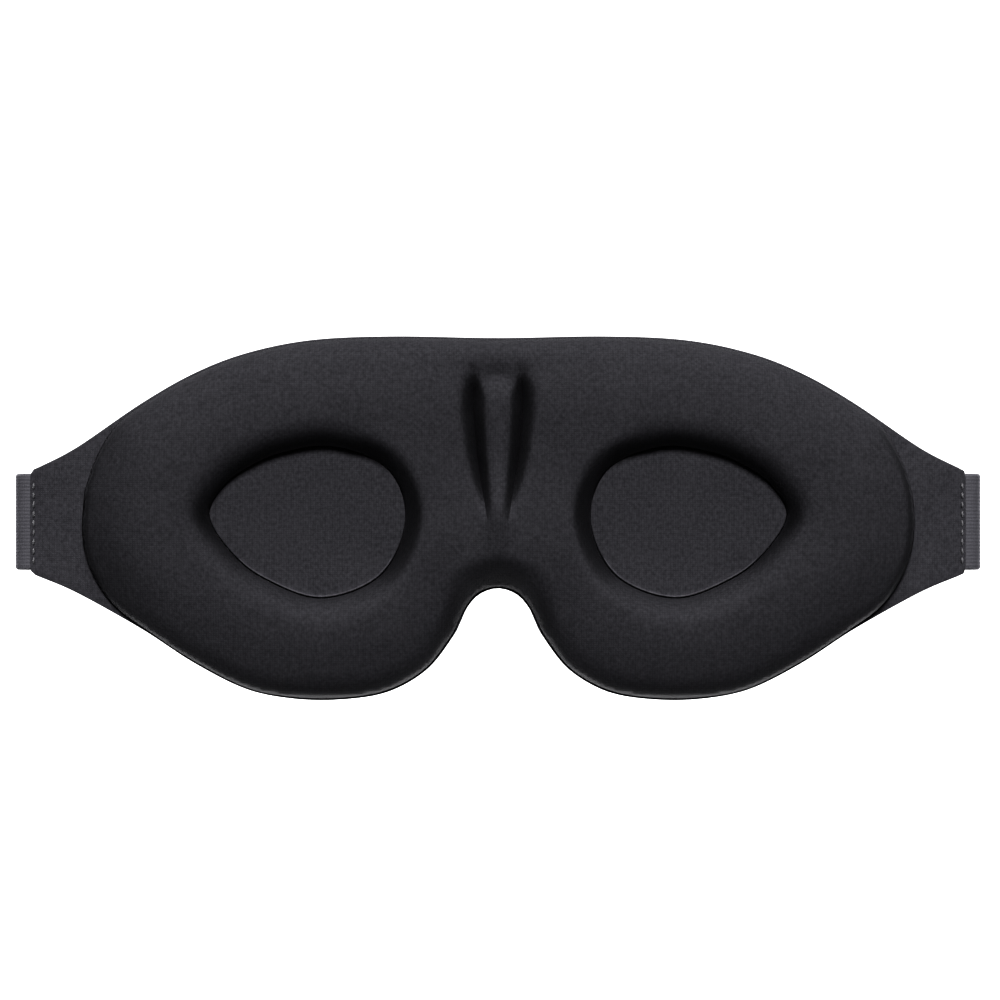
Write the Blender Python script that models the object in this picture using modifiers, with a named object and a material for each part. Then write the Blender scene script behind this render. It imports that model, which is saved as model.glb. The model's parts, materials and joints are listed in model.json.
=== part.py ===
"""Sleep eye mask: moulded pad with two flat-bottomed eye cavities, cloth wings and an elastic strap.

It stands upright as worn. +X is the wearer's right, the face side looks to -Y and +Z is up. The origin is
where the face meets the pad over the nose. Lengths are in millimetres, and MM turns them into metres.
"""

import math

import bmesh
import bpy
import numpy as np
from mathutils import Matrix
from mathutils.geometry import delaunay_2d_cdt

MM = 0.001
GAP = 0.3  # between pieces that touch

# ---- outlines in the X-Z plane, each point given for the right half ----------------------------------------
TOP = [
    (0, 45.4), (26, 45.8), (46, 44.9), (62, 41.7), (75, 36.7), (88, 29.3), (104, 18.5), (114.6, 13.2),
    (115.8, 12.2),
]
BOTTOM = [
    (0, -16.4), (4.5, -17.8), (7.5, -21.0), (9.1, -24.4), (11.1, -28.3), (17.5, -36.4), (27, -41.9),
    (38, -43.8), (50, -43.7), (62, -41.3), (75, -34.8), (88, -26.4), (104, -17.6), (114.6, -13.2),
    (115.8, -12.2),
]
PAD_TOP = [
    (0, 44.5), (26, 44.9), (46, 44.0), (61.7, 40.8), (74.6, 35.8), (86, 29.3), (94, 23.4), (99, 15.8),
    (102, 7.5),
]
PAD_BOTTOM = [
    (0, -15.5), (5.1, -17.1), (8.3, -20.6), (10.0, -24.1), (12.0, -27.9), (18.2, -35.7), (27.4, -41.0),
    (38, -42.9), (50, -42.8), (61.7, -40.5), (74.5, -34.0), (86, -26.6), (94, -20.8), (99, -14.3),
    (102, -7.0), (102.8, 0.3),
]
EYE = [
    (22.8, 0.7), (27.2, 13.0), (40.3, 18.5), (52.5, 17.2), (60.9, 13.8), (67.4, 9.0), (71.2, 1.6),
    (65.8, -7.4), (57.6, -14.0), (43.5, -18.8), (28.9, -13.1),
]

# ---- layers, counted along +Y from the face ----------------------------------------------------------------
PAD_DEPTH = 12.7  # crest of the skin to the pad's base
SKIN = 0.6
LINER_FRONT = PAD_DEPTH + GAP
LINER = 0.5
CORE_FRONT = LINER_FRONT + LINER + GAP
CORE = 1.0  # foam at its pressed edge, and the strap ends sewn between the cloths
CUSHION = 2.4  # how much the foam swells behind the eyes
COVER = 0.5
COVER_BACK = CORE_FRONT + CORE + GAP + COVER
FLOOR_FRONT = 11.5
WING_FROM, WING_LENGTH, WING_BEND = 80.0, 36.0, 5.0  # the wings curve away from the face

# ---- pad surface -------------------------------------------------------------------------------------------
EDGE_WALL, EDGE_REACH = 0.36, 17.0  # outer wall as a share of the depth, and how far in it levels off
LIP_WALL, LIP_REACH = 0.62, 8.0  # the same round the eye cavities
NOSE_RELIEF, NOSE_WIDTH = 0.26, 15.0
RIDGE_TOP, RIDGE_LOW = 36.0, 0.0
GROOVE_DEPTH, GROOVE_WIDTH = 3.0, 1.7
RIDGE_RISE = 1.4

# ---- strap -------------------------------------------------------------------------------------------------
BAND, BAND_HALF = 1.0, 12.0  # thickness and half width of the elastic
SEWN_FROM, SEWN_TO = 104.8, 116.4  # the sewn ends, along X
SEAM_X = 115.0  # stitches along the wing's edge
STRAP_FROM = 116.8
SIDE = 119.5  # middle of the band where it runs straight back
SWING_Y = 19.5  # the strap turns about this line, through both wing ends
BACK_Y = 74.0  # middle of the strap's straight run
TURN = 34.0
WIRE = 1.2  # radius of the ring's wire
RING_LEFT, RING_RIGHT = -74.6, -66.0
WRAP = WIRE + GAP + BAND / 2  # radius of the band round the ring
RETURN_FROM = -56.0
SLIDER_X = 5.0
BAR, BAR_THICK = 1.5, 1.6  # slider's middle bar: half width and thickness
LOOP_WRAP = BAR_THICK / 2 + GAP + BAND / 2
LOOP_Y = BACK_Y - BAND / 2 - GAP - BAND / 2 - LOOP_WRAP  # middle of the slider's middle bar
THREAD = 0.22

for old in list(bpy.data.objects):
    bpy.data.objects.remove(old)
mask = bpy.data.collections.new("sleep_eye_mask")
cutters = bpy.data.collections.new("cutters")
bpy.context.scene.collection.children.link(mask)
bpy.context.scene.collection.children.link(cutters)


def material(name, color, roughness):
    made = bpy.data.materials.new(name)
    made.use_nodes = True
    shader = made.node_tree.nodes["Principled BSDF"]
    shader.inputs["Base Color"].default_value = (*color, 1)
    shader.inputs["Roughness"].default_value = roughness
    return made


COVER_CLOTH = material("cover_cloth", (0.020, 0.020, 0.024), 0.85)
LINER_CLOTH = material("liner_cloth", (0.030, 0.029, 0.034), 0.9)
KNIT = material("knit", (0.022, 0.021, 0.026), 0.9)
FLOOR_CLOTH = material("floor_cloth", (0.025, 0.024, 0.029), 0.85)
FOAM = material("foam", (0.045, 0.045, 0.05), 0.95)
ELASTIC = material("elastic", (0.040, 0.039, 0.045), 0.8)
SEWING = material("thread", (0.055, 0.054, 0.06), 0.6)
PLASTIC = material("plastic", (0.012, 0.012, 0.013), 0.35)


def spline(points, steps=4, closed=False):
    """Smooth line through the points."""
    p = np.array(points, float)
    before, after = (p[-1:], p[:2]) if closed else (2 * p[:1] - p[1:2], 2 * p[-1:] - p[-2:-1])
    q = np.vstack([before, p, after])
    line = []
    for a, b, c, d in zip(q, q[1:], q[2:], q[3:]):
        for t in np.arange(steps) / steps:
            curved = (2 * a - 5 * b + 4 * c - d) * t**2 + (3 * b - a - 3 * c + d) * t**3
            line.append(b + ((c - a) * t + curved) / 2)
    return np.array(line if closed else line + [p[-1]])


def both_sides(points):
    return [(-x, z) for x, z in points if x > 0][::-1] + points


def outline(top, bottom):
    """Closed loop, clockwise seen from the face."""
    return np.vstack([spline(both_sides(top)), spline(both_sides(bottom))[::-1]])


def inset(loop, gap):
    """The loop moved to its own inside by gap, point by point."""
    ahead = np.roll(loop, -1, 0) - loop
    ahead /= np.linalg.norm(ahead, axis=1)[:, None]
    way = ahead + np.roll(ahead, 1, 0)
    way /= np.linalg.norm(way, axis=1)[:, None]
    x, z = loop.T
    side = np.sign(np.sum(x * np.roll(z, -1) - z * np.roll(x, -1)))
    return loop + side * gap * np.stack([-way[:, 1], way[:, 0]], 1)


def inside(points, loop):
    x, z = np.asarray(points).T
    found = np.zeros(len(x), bool)
    for (x1, z1), (x2, z2) in zip(loop, np.roll(loop, -1, 0)):
        if z1 != z2:
            found ^= ((z1 > z) != (z2 > z)) & (x < (x2 - x1) * (z - z1) / (z2 - z1) + x1)
    return found


def distance(points, loop):
    """From each point to the nearest side of the loop."""
    p = np.asarray(points)[:, None]
    a, b = loop[None], np.roll(loop, -1, 0)[None]
    share = np.clip(np.sum((p - a) * (b - a), 2) / np.sum((b - a) ** 2, 2), 0, 1)
    return np.min(np.linalg.norm(p - a - share[..., None] * (b - a), axis=2), axis=1)


def region(loops, spacing, extra=()):
    """Triangles inside the first loop and outside the others, with one index ring per loop."""
    x = np.arange(-120, 121, spacing)
    rows = [np.stack([x + spacing / 2 * (n % 2), np.full_like(x, z)], 1)
            for n, z in enumerate(np.arange(-50, 51, spacing * 0.866))]
    extra = np.array(extra, float).reshape(-1, 2)
    grid = np.vstack(rows)
    if len(extra):
        near = np.min(np.linalg.norm(grid[:, None] - extra[None], axis=2), axis=1)
        grid = grid[near > spacing * 0.6]
    grid = np.vstack([grid, extra])
    keep = inside(grid, loops[0])
    for hole in loops[1:]:
        keep &= ~inside(grid, hole)
    for loop in loops:
        keep &= distance(grid, loop) > 1.0
    points = np.vstack([*loops, grid[keep]])
    rings, start = [], 0
    for loop in loops:
        rings.append(np.arange(start, start + len(loop)))
        start += len(loop)
    edges = [(int(a), int(b)) for ring in rings for a, b in zip(ring, np.roll(ring, -1))]
    found, _, faces, *_ = delaunay_2d_cdt([tuple(map(float, p)) for p in points], edges, [], 0, 1e-7)
    assert len(found) == len(points)
    middle = np.array([points[list(f)].mean(0) for f in faces])
    good = inside(middle, loops[0])
    for hole in loops[1:]:
        good &= ~inside(middle, hole)
    return points, [tuple(f) for f, ok in zip(faces, good) if ok], rings


class Shape:
    """Points and faces of one closed solid."""

    def __init__(self):
        self.points, self.faces = [], []

    def sheet(self, points, depth, faces):
        start = len(self.points)
        self.points += [(x, y, z) for (x, z), y in zip(points, depth)]
        self.faces += [tuple(start + i for i in f) for f in faces]
        return start

    def wall(self, a, b):
        """Quads between two rings of the same length."""
        for a1, a2, b1, b2 in zip(a, np.roll(a, -1), b, np.roll(b, -1)):
            self.faces.append((int(a1), int(a2), int(b2), int(b1)))


def keep(name, points, faces, slot, origin=(0, 0, 0)):
    """Make the object, in metres, with its own origin."""
    mesh = bpy.data.meshes.new(name)
    mesh.from_pydata([tuple((np.array(p) - origin) * MM) for p in points], [], faces)
    bm = bmesh.new()
    bm.from_mesh(mesh)
    bmesh.ops.recalc_face_normals(bm, faces=bm.faces)
    bm.to_mesh(mesh)
    bm.free()
    made = bpy.data.objects.new(name, mesh)
    made.location = np.array(origin) * MM
    made.data.materials.append(slot)
    mask.objects.link(made)
    return made


def flat(name, profile, thick, slot, place):
    """A flat outline in X-Y given thickness along Z, as a curve object at that place."""
    curve = bpy.data.curves.new(name, "CURVE")
    curve.dimensions, curve.fill_mode, curve.extrude = "2D", "BOTH", thick / 2 * MM
    line = curve.splines.new("POLY")
    line.points.add(len(profile) - 1)
    line.use_cyclic_u = True
    for point, (x, y) in zip(line.points, profile):
        point.co = (x * MM, y * MM, 0, 1)
    made = bpy.data.objects.new(name, curve)
    made.location = np.array(place) * MM
    curve.materials.append(slot)
    mask.objects.link(made)
    return made


def cloth(name, depth, thick, slot, extra):
    """Sheet with the mask's outline whose middle lies at y = depth(x, z)."""
    points, faces, _ = region([edge], 14.0, extra)
    made = keep(name, [(x, y, z) for (x, z), y in zip(points, depth(points))], faces, slot)
    solid = made.modifiers.new("thickness", "SOLIDIFY")
    solid.thickness, solid.offset = thick * MM, 0
    return made


def slab(name, loops, front, back, slot, spacing, extra):
    """Closed solid between two surfaces y = front(x, z) and y = back(x, z)."""
    points, faces, rings = region(loops, spacing, extra)
    shape = Shape()
    first = shape.sheet(points, front(points), faces)
    second = shape.sheet(points, back(points), faces)
    for ring in rings:
        shape.wall(ring + first, ring + second)
    return keep(name, shape.points, shape.faces, slot)


def smooth(t):
    t = np.clip(t, 0, 1)
    return t * t * (3 - 2 * t)


def bend(points):
    """How far the wings curve away from the face."""
    return WING_BEND * (np.clip(np.abs(points[:, 0]) - WING_FROM, 0, None) / WING_LENGTH) ** 2


def groove_at(z):
    """Half the distance between the two grooves beside the nose ridge."""
    return 3.1 + 3.3 * np.clip((z - RIDGE_LOW) / 30, 0, 1) ** 0.8


edge = outline(TOP, BOTTOM)
pad_edge = np.vstack([spline(both_sides(PAD_TOP) + [PAD_BOTTOM[-1]])[1:],
                      spline(both_sides(PAD_BOTTOM))[::-1][1:-1]])
eye_right = spline(EYE, closed=True)
eye_left = eye_right * (-1, 1)
eyes = [eye_left, eye_right]


def pad_height(points):
    """Height of the pad's skin over its base."""
    x, z = np.abs(points[:, 0]), points[:, 1]
    out = np.clip(distance(points, pad_edge) / EDGE_REACH, 0, 1)
    lip = np.clip((np.minimum(*(distance(points, inset(e, -GAP)) for e in eyes))) / LIP_REACH, 0, 1)
    height = PAD_DEPTH * (EDGE_WALL + (1 - EDGE_WALL) * (1 - (1 - out) ** 2))
    height = height * (LIP_WALL + (1 - LIP_WALL) * (1 - (1 - lip) ** 2))
    height = height * (1 - NOSE_RELIEF * np.exp(-((x / NOSE_WIDTH) ** 2)))
    along = smooth((RIDGE_TOP + 3 - z) / 8) * smooth((z - RIDGE_LOW + 4) / 12)
    height = height - GROOVE_DEPTH * along * np.exp(-(((x - groove_at(z)) / GROOVE_WIDTH) ** 2))
    return height + RIDGE_RISE * along * np.exp(-((x / 3.0) ** 2))


# ---- pad: foam with a skin moulded over it -----------------------------------------------------------------
rings = [inset(pad_edge, 2.2), inset(pad_edge, 5.5), inset(pad_edge, 10)]
rings += [inset(e, -d) for e in eyes for d in (2.4, 5.0)]
ridge = [(side * (groove_at(z) + off), z) for z in np.arange(-3, 41, 3.6) for side in (-1, 1)
         for off in (-2.0, 0, 2.0, 5.0)] + [(0, z) for z in np.arange(-3, 41, 3.6)]
inner = [p for ring in rings for p in ring if abs(p[0]) > 15 or not -5 < p[1] < 42]
guides = np.array(ridge + inner)
clear = [guides[0]]
for point in guides[1:]:
    if min(np.hypot(*(np.array(clear) - point).T)) > 1.7:
        clear.append(point)
surface, surface_faces, surface_rings = region([pad_edge] + [inset(e, -GAP) for e in eyes], 6.0, clear)


def drawn_in(points, gap):
    """The pad's surface points with each boundary moved into the pad by gap."""
    moved = points.copy()
    moved[surface_rings[0]] = inset(points[surface_rings[0]], gap)
    for ring in surface_rings[1:]:
        moved[ring] = inset(points[ring], -gap)
    return moved


def foot_ring(shape, points, ring):
    return shape.sheet(points[ring], np.full(len(ring), PAD_DEPTH), []) + np.arange(len(ring))


skin = Shape()
under = drawn_in(surface, SKIN)
skin.sheet(surface, PAD_DEPTH - pad_height(surface), surface_faces)
inner_start = skin.sheet(under, PAD_DEPTH - pad_height(under) + SKIN, surface_faces)
for ring in surface_rings:
    outer_foot, inner_foot = foot_ring(skin, surface, ring), foot_ring(skin, under, ring)
    skin.wall(ring, outer_foot)
    skin.wall(outer_foot, inner_foot)
    skin.wall(inner_foot, ring + inner_start)
keep("pad_skin", skin.points, skin.faces, KNIT)

foam = Shape()
core = drawn_in(surface, SKIN + GAP)
foam.sheet(core, PAD_DEPTH - pad_height(core) + SKIN + GAP, surface_faces)
base_points, base_faces, base_rings = region([core[ring] for ring in surface_rings], 20.0)
base_start = foam.sheet(base_points, np.full(len(base_points), PAD_DEPTH), base_faces)
for ring, foot in zip(surface_rings, base_rings):
    foam.wall(ring, foot + base_start)
keep("pad_foam", foam.points, foam.faces, FOAM)

for name, loop in zip(("eye_floor_left", "eye_floor_right"), eyes):
    panel = flat(name, loop, PAD_DEPTH - FLOOR_FRONT, FLOOR_CLOTH, (0, (PAD_DEPTH + FLOOR_FRONT) / 2, 0))
    panel.rotation_euler.x = math.radians(90)


# ---- panel: two cloths with a foam sheet between -----------------------------------------------------------
def cushion(points):
    """How far the foam sheet swells behind the eyes, less along the middle crease and none on the wings."""
    swell = smooth(distance(points, edge) / 16) * smooth((106 - np.abs(points[:, 0])) / 26)
    return CUSHION * swell * (1 - 0.45 * np.exp(-((points[:, 0] / 12) ** 2)))


def layer(depth, swell=False):
    return lambda p: depth + bend(p) + (cushion(p) if swell else 0)


sheet_loop = inset(edge, 1.2)
sheet_loop = sheet_loop[np.abs(sheet_loop[:, 0]) < SEWN_FROM - GAP]
swollen = np.vstack([inset(edge, 4.0), inset(edge, 9.0)])
swollen = swollen[np.abs(swollen[:, 0]) < 102]
cloth("liner_fabric", layer(LINER_FRONT + LINER / 2), LINER, LINER_CLOTH, swollen)
slab("shell_foam", [sheet_loop], layer(CORE_FRONT), layer(CORE_FRONT + CORE, True), FOAM, 14.0, swollen)
cloth("outer_fabric", layer(COVER_BACK - COVER / 2, True), COVER, COVER_CLOTH, swollen)


# ---- strap -------------------------------------------------------------------------------------------------
def ribbon(name, path, slot=ELASTIC, origin=(0, 0, 0)):
    """Elastic band that stands on edge along a path in X-Y."""
    points = [(x, y, z) for x, y in path for z in (-BAND_HALF, BAND_HALF)]
    faces = [(2 * i, 2 * i + 2, 2 * i + 3, 2 * i + 1) for i in range(len(path) - 1)]
    made = keep(name, points, faces, slot, origin)
    thick = made.modifiers.new("thickness", "SOLIDIFY")
    thick.thickness, thick.offset, thick.use_even_offset = BAND * MM, 0, True
    return made


def arc(middle, radius, start, end, steps):
    angles = np.radians(np.linspace(start, end, steps + 1))
    return [(middle[0] + radius * math.cos(a), middle[1] + radius * math.sin(a)) for a in angles]


def side_run():
    """From the right wing end, out, straight back and round to the straight run."""
    slope = math.degrees(math.atan(2 * WING_BEND / WING_LENGTH))
    radius = (SIDE - STRAP_FROM) / (1 - math.sin(math.radians(slope)))
    first = arc((SIDE - radius, SWING_Y + radius * math.cos(math.radians(slope))), radius, slope - 90, 0, 4)
    return first + arc((SIDE - TURN, BACK_Y - TURN), TURN, 0, 90, 12)


def thread(name, x, y, half, tilt=0.0, origin=(0, 0, 0)):
    """One row of zigzag stitches up a band; tilt is how far y changes per length of x."""
    curve = bpy.data.curves.new(name, "CURVE")
    curve.dimensions, curve.use_fill_caps = "3D", True
    curve.bevel_depth, curve.bevel_resolution = THREAD * MM, 1
    count = 13
    line = curve.splines.new("POLY")
    line.points.add(count - 1)
    for n, point in enumerate(line.points):
        step = 0.9 * (-1) ** n
        spot = np.array([x + step, y + tilt * step, -half + 2 * half * n / (count - 1)]) - origin
        point.co = (*(spot * MM), 1)
    made = bpy.data.objects.new(name, curve)
    made.location = np.array(origin) * MM
    made.data.materials.append(SEWING)
    mask.objects.link(made)
    return made


side_path = side_run()
for name, sign in (("strap_end_left", -1), ("strap_end_right", 1)):
    along = np.linspace(SEWN_FROM, SEWN_TO, 5)
    depth = CORE_FRONT + CORE / 2 + bend(np.stack([along, along], 1))
    ribbon(name, [(sign * x, y) for x, y in zip(along, depth)])
for side, sign in (("left", -1), ("right", 1)):
    seam_bend = bend(np.array([[SEAM_X, 0.0]]))[0]
    tilt = sign * 2 * WING_BEND * (SEAM_X - WING_FROM) / WING_LENGTH**2
    thread(f"wing_stitch_{side}_inner", sign * SEAM_X, LINER_FRONT + seam_bend - THREAD - 0.12, 11.0, tilt)
    thread(f"wing_stitch_{side}_outer", sign * SEAM_X, COVER_BACK + seam_bend + THREAD + 0.12, 11.0, tilt)

ring_y = BACK_Y - WRAP
axis = (0, SWING_Y, 0)
short_path = [(-x, y) for x, y in side_path]
short_path += arc((RING_LEFT, ring_y), WRAP, 90, -90, 8)
short_path += [(RING_LEFT - 5.0, BACK_Y - BAND - GAP - 0.1), (RING_LEFT - 11.0, BACK_Y - BAND - GAP)]
ribbon("short_band", short_path, origin=axis)
long_path = side_path + arc((RING_RIGHT, ring_y), WRAP, 90, 270, 8) + [(RETURN_FROM - GAP, ring_y - WRAP)]
ribbon("long_strap", long_path, origin=axis)
thread("band_stitch", RING_LEFT - 8.0, BACK_Y + BAND / 2 + THREAD + 0.1, 10.5, origin=axis)

wire = bpy.data.curves.new("ring", "CURVE")
wire.dimensions, wire.bevel_depth, wire.bevel_resolution = "3D", WIRE * MM, 3
frame = wire.splines.new("POLY")
ring_half = BAND_HALF + 0.5 + WIRE
corners = []
for x, z, start in ((RING_RIGHT, 1, 90), (RING_LEFT, 1, 180), (RING_LEFT, -1, 270), (RING_RIGHT, -1, 360)):
    inward = 2.0 if x == RING_LEFT else -2.0
    turn = arc((x + inward, z * (ring_half - 2.0)), 2.0, start - 90, start, 4)
    corners += turn
frame.points.add(len(corners) - 1)
for point, (x, z) in zip(frame.points, corners):
    point.co = (x * MM, (ring_y - SWING_Y) * MM, z * MM, 1)
frame.use_cyclic_u = True
ring = bpy.data.objects.new("ring", wire)
ring.location = np.array(axis) * MM
ring.data.materials.append(PLASTIC)
mask.objects.link(ring)

# ---- slider: end bars outside the strap, middle bar inside it, so the strap runs through ----------
place = (SLIDER_X, BACK_Y, 0)
RAIL_IN, RAIL_OUT = BAND_HALF + 0.4, BAND_HALF + 2.8
END_IN, END_OUT = 5.7, 8.5
DIP_HALF = 2.6  # half length of the rails' dip at the middle bar
PROUD = 0.4  # how far the rails stand out past the bars
UPPER_LOW, UPPER_HIGH = BAND / 2 + GAP, BAND / 2 + GAP + 1.7
LOWER_LOW, LOWER_HIGH = LOOP_Y - BACK_Y - BAR_THICK / 2, LOOP_Y - BACK_Y + BAR_THICK / 2


def rail(name, z):
    """One side of the slider, an outline that dips towards the middle bar, as a mesh."""
    end, high, shoulder, low = END_OUT + PROUD, UPPER_HIGH + PROUD, UPPER_LOW - PROUD, LOWER_LOW - PROUD
    half = [(end, high), (end, shoulder), (DIP_HALF, low)]
    profile = half + [(-x, y) for x, y in half[::-1]]
    drawn = flat(name + "_curve", profile, RAIL_OUT - RAIL_IN, PLASTIC, (*place[:2], z))
    bpy.context.view_layer.update()
    mesh = bpy.data.meshes.new_from_object(drawn.evaluated_get(bpy.context.evaluated_depsgraph_get()))
    bm = bmesh.new()
    bm.from_mesh(mesh)
    bmesh.ops.remove_doubles(bm, verts=bm.verts, dist=0.001 * MM)
    bm.to_mesh(mesh)
    bm.free()
    made = bpy.data.objects.new(name, mesh)
    made.matrix_world = drawn.matrix_world
    bpy.data.objects.remove(drawn)
    cutters.objects.link(made)
    return made


def bar(name, middle, half, low, high, collection=cutters):
    """A bar of the slider, from rail to rail; middle and half are along X, low and high along Y."""
    depth = (low + high) / 2
    bpy.ops.mesh.primitive_cube_add(size=1, location=np.array((place[0] + middle, place[1] + depth, 0)) * MM)
    made = bpy.context.object
    made.name = name
    made.data.transform(Matrix.Diagonal((2 * half * MM, (high - low) * MM, 2 * (RAIL_OUT - 0.3) * MM, 1)))
    made.data.materials.append(PLASTIC)
    for shown in list(made.users_collection):
        shown.objects.unlink(made)
    collection.objects.link(made)
    return made


end_middle, end_half = (END_IN + END_OUT) / 2, (END_OUT - END_IN) / 2
slider = bar("slider", 0, BAR, LOWER_LOW, LOWER_HIGH, mask)
joined = [
    rail("rail_top", (RAIL_IN + RAIL_OUT) / 2),
    rail("rail_bottom", -(RAIL_IN + RAIL_OUT) / 2),
    bar("end_bar_left", -end_middle, end_half, UPPER_LOW, UPPER_HIGH),
    bar("end_bar_right", end_middle, end_half, UPPER_LOW, UPPER_HIGH),
]
for part in joined:
    part.hide_render, part.display_type = True, "WIRE"
    union = slider.modifiers.new(part.name, "BOOLEAN")
    union.operation, union.solver, union.object = "UNION", "EXACT", part
bevel = slider.modifiers.new("rounding", "BEVEL")
bevel.width, bevel.segments, bevel.limit_method, bevel.angle_limit = 0.15 * MM, 1, "ANGLE", math.radians(40)

loop_path = [(SLIDER_X - 16, LOOP_Y - LOOP_WRAP), (SLIDER_X + BAR - 0.4, LOOP_Y - LOOP_WRAP)]
loop_path += arc((SLIDER_X + BAR - 0.4, LOOP_Y), LOOP_WRAP, -90, 90, 8)[1:]
loop_path += [(SLIDER_X - 3.5, LOOP_Y + LOOP_WRAP), (SLIDER_X - 8.5, LOOP_Y - LOOP_WRAP + BAND + GAP + 0.1),
              (SLIDER_X - 14, LOOP_Y - LOOP_WRAP + BAND + GAP)]
ribbon("strap_end_loop", loop_path, origin=place)
thread("loop_stitch", SLIDER_X - 11.5, LOOP_Y - LOOP_WRAP - BAND / 2 - THREAD - 0.1, 10.5, origin=place)
ribbon("strap_return", [(RETURN_FROM, ring_y - WRAP), (SLIDER_X - 16 - GAP, LOOP_Y - LOOP_WRAP)], origin=axis)
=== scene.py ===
"""Looks of the sleep eye mask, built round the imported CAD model.

Lengths are in millimetres and become metres in `piece`; only the stage is in metres. The mask stands upright
as worn: the face side looks to -Y, +X is the wearer's right and +Z is up. Outlines are drawn in X-Z, and
layers are counted along +Y.
"""

import json
import math

import bmesh
import bpy
import numpy as np
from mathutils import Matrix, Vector, noise
from mathutils.geometry import delaunay_2d_cdt


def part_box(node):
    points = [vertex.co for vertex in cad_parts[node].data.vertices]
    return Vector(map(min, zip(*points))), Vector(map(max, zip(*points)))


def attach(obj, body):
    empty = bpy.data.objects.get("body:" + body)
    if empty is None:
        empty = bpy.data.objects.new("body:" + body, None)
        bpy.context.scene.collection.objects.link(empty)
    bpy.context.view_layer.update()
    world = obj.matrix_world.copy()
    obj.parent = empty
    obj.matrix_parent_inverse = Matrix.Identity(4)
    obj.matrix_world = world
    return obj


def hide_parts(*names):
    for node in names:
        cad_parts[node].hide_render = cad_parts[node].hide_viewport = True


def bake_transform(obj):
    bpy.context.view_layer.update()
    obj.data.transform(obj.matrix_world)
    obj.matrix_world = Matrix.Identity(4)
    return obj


MM = 0.001
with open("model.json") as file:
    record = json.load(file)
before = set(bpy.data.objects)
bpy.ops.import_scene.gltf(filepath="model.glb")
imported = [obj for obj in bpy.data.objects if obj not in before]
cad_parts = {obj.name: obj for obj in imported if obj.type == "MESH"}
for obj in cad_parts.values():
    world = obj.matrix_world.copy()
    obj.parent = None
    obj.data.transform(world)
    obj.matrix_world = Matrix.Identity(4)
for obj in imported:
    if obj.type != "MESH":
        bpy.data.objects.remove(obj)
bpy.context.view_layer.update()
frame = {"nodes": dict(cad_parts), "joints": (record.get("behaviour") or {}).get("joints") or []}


def cad(node):
    """Lowest and highest corner of a CAD node, in millimetres."""
    low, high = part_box(node)
    return np.array(low) / MM, np.array(high) / MM


# ---- outlines: right half of the mask and of the pad, and the right cavity -------------------------------
TOP = [(0, 45.4), (26, 45.8), (46, 44.9), (62, 41.7), (75, 36.7), (88, 29.3), (104, 18.5), (113.6, 13.6),
       (115.3, 12.9), (115.9, 11.8)]
BOTTOM = [
    (0, -16.4), (4.5, -17.8), (7.5, -21.0), (9.1, -24.4), (11.1, -28.3), (17.5, -36.4), (27, -41.9),
    (38, -43.8), (50, -43.7), (62, -41.3), (75, -34.8), (88, -26.4), (104, -17.6), (113.6, -13.6),
    (115.3, -12.9), (115.9, -11.8),
]
PAD_TOP = [(0, 44.9), (26, 45.3), (46, 44.4), (61.8, 41.2), (74.7, 36.2), (86, 29.8), (94, 24.0), (99, 16.2),
           (102, 7.7)]
PAD_BOTTOM = [
    (0, -15.9), (4.8, -17.3), (7.9, -20.8), (9.6, -24.2), (11.6, -28.1), (17.9, -36.1), (27.2, -41.4),
    (38, -43.3), (50, -43.2), (61.8, -40.9), (74.7, -34.4), (86, -27.0), (94, -21.2), (99, -14.6),
    (102, -7.2), (102.8, 0.3),
]
EYE = [
    (22.8, 0.7), (27.2, 13.0), (40.3, 18.5), (52.5, 17.2), (60.9, 13.8), (67.4, 9.0), (71.2, 1.6),
    (65.8, -7.4), (57.6, -14.0), (43.5, -18.8), (28.9, -13.1),
]

# ---- layers, read from the frame -------------------------------------------------------------------------
PAD_FRONT, PAD_BACK = cad("pad_skin")[0][1], cad("pad_skin")[1][1]
PAD_DEPTH = PAD_BACK - PAD_FRONT
FLOOR_FRONT, FLOOR_BACK = cad("eye_floor_left")[0][1], cad("eye_floor_left")[1][1]
LINER_FRONT = cad("liner_fabric")[0][1]
COVER_FRONT = cad("outer_fabric")[0][1]
CORE_FRONT = cad("shell_foam")[0][1]

# ---- distances between mesh points -----------------------------------------------------------------------
EDGE_MESH, PAD_EDGE_MESH, EYE_MESH = 1.6, 1.5, 1.3
PAD_MESH, BASE_MESH = 1.0, 12.0
BEAD_MESH, FLOOR_MESH, FLOOR_BACK_MESH = 0.8, 1.8, 3.0
LINER_MESH, CORE_MESH, COVER_MESH = 2.2, 5.0, 1.7

# ---- pad sizes: heights over its base, and how far each slope reaches ------------------------------------
RIM, LEFT_RIM, FOOT = 1.4, 0.45, 0.12
TUCK = [(0.35, 0.61), (1.3, 0.18), (2.2, 0.0)]  # inset of each row, and its share of the rim's height
END_FROM, END_LENGTH = 78.0, 20.0
EDGE_ROLL, LEFT_ROLL, RIGHT_ROLL, EDGE_REACH = 5.6, 2.0, 4.8, 20.0
EDGE_RADIUS, LEFT_RADIUS, RIGHT_RADIUS = 6.0, 1.8, 2.6
HOLE_OUT, HOLE_LINES = 0.1, (0.55, 1.1)
LIP_FOOT, LIP_ROLL, LIP_RADIUS, LIP_REACH, LIP_OVER = 0.6, 11.2, 7.5, 15.0, 0.6
NOSE_WALL, NOSE_WALL_TO, NOSE_WALL_FADE = 5.6, 38.0, 10.0
NOSE_RELIEF, NOSE_WIDTH, NOSE_LOW, NOSE_FADE = 2.8, 15.0, -6.0, 24.0
NOTCH_DROP, NOTCH_REACH, NOTCH_WIDTH, NOTCH_TOP, NOTCH_FADE = 10.6, 8.2, 12.0, 4.0, 8.0
SOFT_MINIMUM = 0.9

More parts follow.
